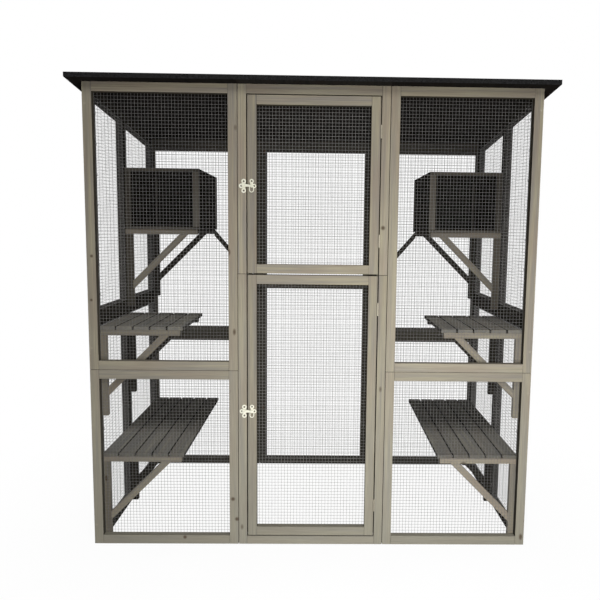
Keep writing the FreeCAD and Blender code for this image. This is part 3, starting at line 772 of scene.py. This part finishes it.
# Corner screws: plated cross-head screws through the front's outer stiles into the side walls, near the
# two ends of each panel.
CORNER_SCREWS = {-1.0: (0.080, 0.632, 0.800, 1.730), 1.0: (0.080, 0.632, 0.800, 1.729)}
CORNER_SCREW_X = 0.859
SCREW_PROUD = 0.0004
corner_screws = []
for hand, heights in CORNER_SCREWS.items():
    for z in heights:
        corner_screws.append(cross_screw(hand * CORNER_SCREW_X, z, FRONT_FACE - SCREW_PROUD))
corner_screws = assemble(corner_screws, "front_corner_screws", plate_steel)
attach(corner_screws, "cage")

# Mesh staples: flat galvanised staples driven over the wires into the timber, one every 125 mm or so
# round each window, with the crown along the window's edge.
STAPLE_CROWN = 0.010
STAPLE_WIDTH = 0.0012
STAPLE_THICKNESS = 0.0008
STAPLE_SPACING = 0.125


def set_copies(pattern, places):
    """Copies of one small piece, each moved to its place in a mesh of its own."""
    copies = []
    for place in places:
        copy = pattern.copy()
        copy.data = pattern.data.copy()
        copy.data.transform(place)
        bpy.context.scene.collection.objects.link(copy)
        copies.append(copy)
    bpy.data.objects.remove(pattern)
    return copies


def staple(radius):
    """A staple that stands on the timber with its crown over both wires."""
    half = 0.5 * STAPLE_CROWN
    edge = 0.5 * STAPLE_WIDTH
    leg = half - STAPLE_THICKNESS
    under = 4 * radius
    piece = cast_block((-half, half), (-edge, edge), 0.0, under + STAPLE_THICKNESS)
    cast_with(piece, [cast_block((-leg, leg), (-edge - PAST, edge + PAST), -PAST, under)], "DIFFERENCE")
    return piece


def window_edges(window, across, origin, sloped):
    """The four lines that the staples follow, half way over the lap of the mesh."""
    start, end, bottom, top = window
    lap = 0.5 * TIMBER_LAP
    up = Vector(UPWARD)
    posts = []
    for place in (start - lap, end + lap):
        post = Vector(origin) + Vector(across) * place
        head = top + lap
        if sloped:
            head = OVER_WALL_HEAD[0].z + lap - (place - OVER_WALL_HEAD[0].y) * math.tan(ROOF_FALL)
        posts.append((post + up * (bottom - lap), post + up * head))
    near, far = posts
    return [near, far, (near[0], far[0]), (near[1], far[1])]


staples = {"cage": [], "lower_door": [], "upper_door": []}
for node, window, across, origin, inward, radius, sloped in panes:
    places = []
    for begin, finish in window_edges(window, across, origin, sloped):
        run = finish - begin
        along = run.normalized()
        turn = Matrix((along, inward, along.cross(Vector(inward)))).transposed().to_4x4()
        count = round(run.length / STAPLE_SPACING)
        for index in range(count):
            places.append(Matrix.Translation(begin + run * (index + 0.5) / count) @ turn)
    staples[sheet_bodies[node]] += set_copies(staple(radius), places)
for body, pieces in staples.items():
    driven = assemble(pieces, f"{body}_mesh_staples", zinc_wire)
    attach(driven, body)

# Roof boards: three sheets of plywood, laid on the walls side by side and screwed down. Their
# near-black colour is partly a dark stain and partly painted shade under the roof.
# Painted light: the centre board is made lighter than the two beside it
ROOF_SHADES = {"left": 1.0, "centre": 1.45, "right": 1.0}
roof_wood = stained_softwood("dark_plywood_with_painted_shade", "#211f1d", "#1b1a18", "#1f1b18", "#100d0b")
for column, shade in ROOF_SHADES.items():
    node = f"roof_{column}_board"
    low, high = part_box(node)
    over_board = (Vector((0.0, low.y, high.z)), ROOF_NORMAL)
    under_board = (ROOF_EDGE, -ROOF_NORMAL)
    board = timber(low, high, TO_BACK, [over_board, under_board], shade=shade)
    board = assemble([board], f"roof_{column}_plywood", roof_wood)
    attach(board, "cage")
    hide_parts(node)

# Roofing felt: black bitumen felt with a mineral grit, one length to each roof board, glued down and
# turned over the edges, with a cover strip of the same felt over each joint.
COVER_WIDTH = 0.07
COVER_THICKNESS = 0.0012
COVER_EDGE = 0.0005
COVER_MARGIN = 0.018
ROOF_JOINTS = (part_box("roof_left_board")[1].x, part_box("roof_right_board")[0].x)
felt_low, felt_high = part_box("roof_felt")


def bitumen_felt():
    """Bitumen felt strewn with slate grit: near black, matt, mottled where the grit lies thin. The
    grains are under 1 mm, and are drawn about 4 mm wide so that they show."""
    felt, add = new_finish("gritted_bitumen_felt")
    place = add("TexCoord", {}, "Object")
    grit = add("TexVoronoi", {"Vector": place, "Scale": 250.0}).node.outputs
    grains = add(
        "Mix", {0: grit["Color"], 6: paint("#0a0a0a"), 7: paint("#303031")}, 2, data_type="RGBA"
    )
    # Worn patches about 110 mm across
    patch = add("TexNoise", {"Vector": place, "Scale": 9.0, "Detail": 6.0})
    worn = add("MapRange", {"Value": patch, "From Min": 0.42, "From Max": 0.68, "To Max": 0.75})
    colour = add("Mix", {0: worn, 6: grains, 7: paint("#242322")}, 2, data_type="RGBA")
    pebbled = add("Bump", {"Height": grit["Distance"], "Strength": 0.6, "Distance": 0.0008})
    surface = add(
        "BsdfPrincipled",
        {"Base Color": colour, "Roughness": 0.92, "Specular IOR Level": 0.08, "Normal": pebbled},
    )
    add("OutputMaterial", {"Surface": surface})
    return felt


def on_felt(x, y):
    """A point on top of the felt."""
    return Vector((x, y, felt_high.z - (y - felt_low.y) * math.tan(ROOF_FALL)))


felt_grit = bitumen_felt()
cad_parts["roof_felt"].data.materials.clear()
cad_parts["roof_felt"].data.materials.append(felt_grit)
cover_length = (felt_high.y - felt_low.y - 2 * COVER_MARGIN) / math.cos(ROOF_FALL)
covers = []
for joint in ROOF_JOINTS:
    middle = on_felt(joint, 0.5 * (felt_low.y + felt_high.y)) + ROOF_NORMAL * 0.5 * COVER_THICKNESS
    cover = sawn_block(middle, (COVER_WIDTH, cover_length, COVER_THICKNESS), (-ROOF_FALL, 0.0, 0.0))
    saw_and_ease(cover, (), COVER_EDGE)
    covers.append(cover)
covers = assemble(covers, "felt_cover_strips", felt_grit)
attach(covers, "cage")

# Felt nails: galvanised clout nails with broad flat heads, one every 150 mm or so round the roof and down
# both edges of each cover strip.
CLOUT_RADIUS = 0.0048
CLOUT_RIM = 0.0034
CLOUT_HEIGHT = 0.0008
CLOUT_SIDES = 14
CLOUT_SPACING = 0.15
CLOUT_EDGE = 0.024
CLOUT_INSET = 0.012


def along_edge(start, end):
    """Evenly spaced places from one end of an edge to the other."""
    bays = round((end - start) / CLOUT_SPACING)
    return [start + (end - start) * place / bays for place in range(bays + 1)]


bpy.ops.object.select_all(action="DESELECT")
bpy.ops.mesh.primitive_cone_add(
    vertices=CLOUT_SIDES,
    radius1=CLOUT_RADIUS,
    radius2=CLOUT_RIM,
    depth=CLOUT_HEIGHT,
    location=ROOF_NORMAL * 0.5 * CLOUT_HEIGHT,
    rotation=(-ROOF_FALL, 0.0, 0.0),
)
bpy.ops.object.transform_apply(location=True, rotation=True, scale=True)
clout = bpy.context.object
nail_x = (felt_low.x + CLOUT_EDGE, felt_high.x - CLOUT_EDGE)
nail_y = (felt_low.y + CLOUT_EDGE, felt_high.y - CLOUT_EDGE)
spots = [on_felt(x, y) for x in along_edge(*nail_x) for y in nail_y]
spots += [on_felt(x, y) for y in along_edge(*nail_y)[1:-1] for x in nail_x]
for joint in ROOF_JOINTS:
    for reach in (CLOUT_INSET - 0.5 * COVER_WIDTH, 0.5 * COVER_WIDTH - CLOUT_INSET):
        for y in along_edge(*nail_y)[1:-1]:
            spots.append(on_felt(joint + reach, y) + ROOF_NORMAL * COVER_THICKNESS)
places = [Matrix.Translation(spot) for spot in spots]
clouts = assemble(set_copies(clout, places), "felt_clout_nails", zinc_wire)
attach(clouts, "cage")

# Shelf brackets: triangles of 22 mm batten screwed to the wall posts, with an arm under the shelf, a leg
# down the wall and a brace cut at 45 degrees between them.
BRACKET_THICKNESS = 0.022
ARM_DEPTH = 0.022
ARM_LENGTH = 0.319
LEG_FACE = 0.030
LEG_LENGTH = 0.325
BRACE_FACE = 0.026
BRACE_RUN = 0.209
BRACE_PITCH = math.radians(45)
SAWN_OFF = 0.1
WALL_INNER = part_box("right_wall_mesh")[1].x
FRONT_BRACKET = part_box("left_lower_shelf_brackets")[0].y
REAR_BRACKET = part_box("left_lower_shelf_brackets")[1].y - BRACKET_THICKNESS
MIDDLE_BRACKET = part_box("left_upper_shelf_brackets")[1].y - BRACKET_THICKNESS
# Painted shade and light: brackets behind the front ones are darkened to the deep share, and each front
# bracket's arm and brace, and its leg, are made lighter or darker by side and level
DEEP_SHADE = 0.15
DEEP_SHADES = (DEEP_SHADE, DEEP_SHADE)
FRONT_SHADES = {
    ("left", "lower"): (1.2, 0.72),
    ("left", "upper"): (0.95, 0.88),
    ("right", "lower"): (1.45, 1.25),
    ("right", "upper"): (1.25, 1.28),
}
SIDES = {"left": -1.0, "right": 1.0}
SHELF_BRACKETS = {
    "lower": (FRONT_BRACKET, MIDDLE_BRACKET, REAR_BRACKET),
    "upper": (FRONT_BRACKET, MIDDLE_BRACKET),
}


def bracket(hand, arm_top, near, shade, leg_shade):
    """The three battens of one bracket on the left or right wall, with painted light or shade: one
    share for the arm and brace and another for the leg."""
    far = near + BRACKET_THICKNESS
    arm_under = arm_top - ARM_DEPTH
    leg_inner = hand * (WALL_INNER - LEG_FACE)
    arm_x = (hand * WALL_INNER, hand * (WALL_INNER - ARM_LENGTH))
    leg_x = (hand * WALL_INNER, leg_inner)
    half_run = 0.5 * (BRACE_RUN + BRACE_FACE / math.sqrt(2))
    middle = Vector((leg_inner - hand * half_run, 0.5 * (near + far), arm_under - half_run))
    uncut_run = BRACE_RUN + SAWN_OFF
    half = Vector((0.5 * math.hypot(uncut_run, uncut_run), 0.5 * BRACKET_THICKNESS, 0.5 * BRACE_FACE))
    brace_cuts = [((0.0, 0.0, arm_under), UPWARD), ((leg_inner, 0.0, 0.0), (hand, 0.0, 0.0))]
    leg_foot = arm_under - LEG_LENGTH
    arm = timber((min(arm_x), near, arm_under), (max(arm_x), far, arm_top), TO_RIGHT, shade=shade)
    leg = timber((min(leg_x), near, leg_foot), (max(leg_x), far, arm_under), UPWARD, shade=leg_shade)
    brace = timber(middle - half, middle + half, TO_RIGHT, brace_cuts, hand * BRACE_PITCH, shade=shade)
    return [arm, leg, brace]


shelf_wood = stained_softwood("stained_fir_shelves", "#7d7768", "#6c6860", "#746a5e", "#42362c")
for side, hand in SIDES.items():
    for level, places in SHELF_BRACKETS.items():
        node = f"{side}_{level}_shelf_brackets"
        arm_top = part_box(node)[1].z
        battens = []
        for near in places:
            shades = FRONT_SHADES[side, level] if near == FRONT_BRACKET else DEEP_SHADES
            battens += bracket(hand, arm_top, near, *shades)
        brackets = assemble(battens, f"{side}_{level}_brackets", shelf_wood)
        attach(brackets, "cage")
        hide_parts(node)

# Shelves: five slats of 60 by 14 mm fir laid from front to back over the bracket arms, 6 mm apart,
# with eased edges.
SLAT_COUNT = 5
SLAT_WIDTH = 0.060
SLAT_GAP = 0.0065
# Painted shade and light: the slats darken between the first two depths down to the last share, both
# shelves are made lighter, the upper more, and every face but the top and front end of a slat is darkened
SLAT_DEPTHS = (-0.16, 0.04, 0.22)
SLAT_SHADES = {"lower": 1.15, "upper": 1.55}
slat_wood = stained_softwood(
    "stained_fir_slats", "#767369", "#686763", "#6e6961", "#43382f", painted_depth_shade=SLAT_DEPTHS
)
for side in SIDES:
    for level, shade in SLAT_SHADES.items():
        node = f"{side}_{level}_shelf_slats"
        low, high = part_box(node)
        slats = []
        for index in range(SLAT_COUNT):
            start = low.x + index * (SLAT_WIDTH + SLAT_GAP)
            slat_low = (start, low.y, low.z)
            slat_high = (start + SLAT_WIDTH, high.y, high.z)
            slats.append(timber(slat_low, slat_high, TO_BACK, outward=(UPWARD, TO_FRONT), shade=shade))
        shelf = assemble(slats, f"{side}_{level}_slats", slat_wood)
        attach(shelf, "cage")
        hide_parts(node)

# Slat screws: small cross-head screws driven down through every slat into each bracket arm.
screw_head = cross_screw(0.0, 0.0, -SCREW_PROUD)
screw_head.data.transform(Matrix.Rotation(math.radians(-90), 4, "X"))
heads = []
for side in SIDES:
    for level, places in SHELF_BRACKETS.items():
        low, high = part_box(f"{side}_{level}_shelf_slats")
        for index in range(SLAT_COUNT):
            middle = low.x + index * (SLAT_WIDTH + SLAT_GAP) + 0.5 * SLAT_WIDTH
            for near in places:
                heads.append(Matrix.Translation((middle, near + 0.5 * BRACKET_THICKNESS, high.z)))
slat_screws = assemble(set_copies(screw_head, heads), "slat_screws", screw_steel)
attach(slat_screws, "cage")

# Resting boxes: thin boards on four square posts, with a floor and a top that reach their faces and an
# open front. They stand on two brackets, and a strut from the rear one runs to a cleat on the back wall.
BOX_POST = 0.028
BOX_WALL_INSET = 0.005
BOX_WALL_THICKNESS = 0.009
STRUT_FACE = 0.020
STRUT_DROP = 0.255
CLEAT_FACE = 0.028
CLEAT_LENGTH = 0.120
# Painted light and shade: posts on the room side are lighter and those beside the wall darker, and the box
# legs darker by side
ROOM_POST_SHADE = 1.35
WALL_POST_SHADE = 0.6
BOX_ARM_SHADE = 1.0
BOX_LEG_SHADES = {"left": 0.32, "right": 0.5}
# The boxes' dark colour is partly a dark stain and partly painted shade inside them
box_wood = stained_softwood("dark_fir_boxes_with_painted_shade", "#534f47", "#47443e", "#4d473e", "#29211b")
for side, hand in SIDES.items():
    low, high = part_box(f"{side}_box_boards")
    post_low, post_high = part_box(f"{side}_box_posts")
    posts = []
    # Painted shade: each post keeps its full tone only on its front
    for left in (post_low.x, post_high.x - BOX_POST):
        beside_wall = abs(left) > 0.5 * abs(post_low.x + post_high.x)
        shade = WALL_POST_SHADE if beside_wall else ROOM_POST_SHADE
        for near in (post_low.y, post_high.y - BOX_POST):
            foot = (left, near, post_low.z)
            head = (left + BOX_POST, near + BOX_POST, post_high.z)
            posts.append(timber(foot, head, UPWARD, outward=(TO_FRONT,), shade=shade))
    posts = assemble(posts, f"{side}_box_corner_posts", box_wood)
    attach(posts, "cage")
    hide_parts(f"{side}_box_posts")

    # Painted shade: the floor and top keep full tone only on their fronts, and the board walls are
    # darkened to the deep share
    boards = [
        timber(low, (high.x, high.y, post_low.z), TO_RIGHT, outward=(TO_FRONT,)),
        timber((low.x, low.y, post_high.z), high, TO_RIGHT, outward=(TO_FRONT,)),
    ]
    near = low.y + BOX_POST
    far = high.y - BOX_POST
    for left in (low.x + BOX_WALL_INSET, high.x - BOX_WALL_INSET - BOX_WALL_THICKNESS):
        wall_top = (left + BOX_WALL_THICKNESS, far, post_high.z)
        boards.append(timber((left, near, post_low.z), wall_top, TO_BACK, shade=DEEP_SHADE))
    wall_back = high.y - BOX_WALL_INSET
    back_low = (low.x + BOX_POST, wall_back - BOX_WALL_THICKNESS, post_low.z)
    back_high = (high.x - BOX_POST, wall_back, post_high.z)
    boards.append(timber(back_low, back_high, TO_RIGHT, shade=DEEP_SHADE))
    boards = assemble(boards, f"{side}_box_walls", box_wood)
    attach(boards, "cage")
    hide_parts(f"{side}_box_boards")

    node = f"{side}_box_brackets"
    arm_top = low.z
    supports = bracket(hand, arm_top, MIDDLE_BRACKET, BOX_ARM_SHADE, BOX_LEG_SHADES[side])
    supports += bracket(hand, arm_top, REAR_BRACKET, *DEEP_SHADES)
    support_low, support_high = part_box(node)
    strut_top = WALL_INNER - ARM_LENGTH
    cleat_inner = support_low.x if hand > 0 else -support_high.x
    strut_foot = cleat_inner + CLEAT_FACE
    run = strut_top - strut_foot
    pitch = math.atan2(STRUT_DROP, run)
    cut_length = STRUT_FACE / math.cos(pitch)
    strut_x = hand * 0.5 * (strut_top + strut_foot)
    strut_middle = arm_top - 0.5 * (STRUT_DROP + cut_length)
    middle = Vector((strut_x, REAR_BRACKET + 0.5 * BRACKET_THICKNESS, strut_middle))
    half_length = 0.5 * math.hypot(run, STRUT_DROP) + 0.5 * SAWN_OFF
    half = Vector((half_length, 0.5 * BRACKET_THICKNESS, 0.5 * STRUT_FACE))
    strut_cuts = [
        ((hand * strut_top, 0.0, 0.0), (hand, 0.0, 0.0)),
        ((hand * strut_foot, 0.0, 0.0), (-hand, 0.0, 0.0)),
    ]
    # Painted shade: the strut and the cleat below are darkened to the deep share
    strut = timber(middle - half, middle + half, TO_RIGHT, strut_cuts, -hand * pitch, shade=DEEP_SHADE)
    cleat_middle = arm_top - STRUT_DROP - 0.5 * cut_length
    cleat_x = (hand * cleat_inner, hand * strut_foot)
    cleat_low = (min(cleat_x), REAR_BRACKET, cleat_middle - 0.5 * CLEAT_LENGTH)
    cleat_high = (max(cleat_x), support_high.y, cleat_middle + 0.5 * CLEAT_LENGTH)
    cleat = timber(cleat_low, cleat_high, UPWARD, shade=DEEP_SHADE)
    supports = assemble(supports + [strut, cleat], f"{side}_box_supports", shelf_wood)
    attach(supports, "cage")
    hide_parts(node)

# The setting: a plain white floor that keeps a faint shadow, white all round, one broad soft lamp high in
# front, a smaller one low in front, and others above, behind and at the sides.
FLOOR_SIZE = 40.0
FLOOR_DROP = 0.0005
SHADOW_REACH = 0.9
SHADOW_END = 1.8
SHADOW_LEFT_OUT = 0.95
AMBIENT = 0.06
WHITE = (1.0, 1.0, 1.0, 1.0)


def seen_directly(add):
    """1 where the eye, a mirror or glass looks at the surface, and 0 where it only gives light."""
    rays = add("LightPath", {}).node.outputs
    seen = add("Math", {0: rays["Is Camera Ray"], 1: rays["Is Glossy Ray"]}, operation="MAXIMUM")
    return add("Math", {0: seen, 1: rays["Is Transmission Ray"]}, operation="MAXIMUM")


bpy.ops.object.select_all(action="DESELECT")
bpy.ops.mesh.primitive_plane_add(size=FLOOR_SIZE, location=(0.0, 0.0, -FLOOR_DROP))
floor = bpy.context.object
floor.name = "floor"
bpy.ops.object.transform_apply(location=True, rotation=True, scale=True)
white_floor, add = new_finish("white_floor")
place = add("TexCoord", {}, "Object")
away = add("VectorMath", {0: place}, "Value", operation="LENGTH")
fade = {"From Min": SHADOW_REACH, "From Max": SHADOW_END, "To Min": SHADOW_LEFT_OUT, "To Max": 1.0}
blank = add("MapRange", {"Value": away, **fade})
shadowed = add("BsdfDiffuse", {"Color": paint("#f4f4f4")})
dull = add("BsdfDiffuse", {"Color": paint("#707070")})
glow = add("Emission", {"Color": WHITE, "Strength": 1.0})
shown = add("MixShader", {0: blank, 1: shadowed, 2: glow})
mixed = add("MixShader", {0: seen_directly(add), 1: dull, 2: shown})
add("OutputMaterial", {"Surface": mixed})
floor.data.materials.append(white_floor)

world = bpy.data.worlds.new("white_room")
bpy.context.scene.world = world
world.use_nodes = True
world.node_tree.nodes.clear()
add = functools.partial(add_node, world.node_tree)
level = add("MapRange", {"Value": seen_directly(add), "To Min": AMBIENT, "To Max": 1.0})
sky = add("Background", {"Color": WHITE, "Strength": level})
add("OutputWorld", {"Surface": sky})

LAMPS = {
    "high_lamp": ((1.7, -7.0, 6.8), (0.0, 0.0, 0.9), 3.5, 290.0),
    "front_lamp": ((0.40, -2.00, 0.58), (0.12, 0.0, 0.62), 1.2, 31.0),
    "back_lamp": ((0.0, 3.6, 1.1), (0.0, 0.0, 0.9), 1.6, 105.0),
    "left_lamp": ((-4.0, 0.3, 1.2), (0.0, 0.0, 0.9), 1.6, 60.0),
    "right_lamp": ((4.0, 0.3, 1.2), (0.0, 0.0, 0.9), 1.6, 60.0),
    "top_lamp": ((0.0, 0.0, 3.8), (0.0, 0.0, 0.0), 1.6, 45.0),
}
for name, (place, aim, size, power) in LAMPS.items():
    lamp = bpy.data.lights.new(name, "AREA")
    lamp.energy = power
    lamp.size = size
    holder = bpy.data.objects.new(name, lamp)
    holder.location = place
    holder.rotation_euler = (Vector(aim) - Vector(place)).to_track_quat("-Z", "Y").to_euler()
    holder.visible_camera = False
    bpy.context.scene.collection.objects.link(holder)

CAMERA_PLACE = (0.03147, -2.88113, 1.26906)
CAMERA_TURN = (83.79, -0.6917, -0.9417)
LENS = 37.6427
SENSOR_WIDTH = 36.0
LENS_SHIFT = (-0.052878, -0.002864)
camera = bpy.data.objects.new("camera", bpy.data.cameras.new("camera"))
camera.location = CAMERA_PLACE
camera.rotation_euler = [math.radians(angle) for angle in CAMERA_TURN]
camera.data.lens = LENS
camera.data.sensor_width = SENSOR_WIDTH
camera.data.shift_x, camera.data.shift_y = LENS_SHIFT
bpy.context.scene.collection.objects.link(camera)
bpy.context.scene.camera = camera
bpy.context.scene.view_settings.view_transform = "Standard"
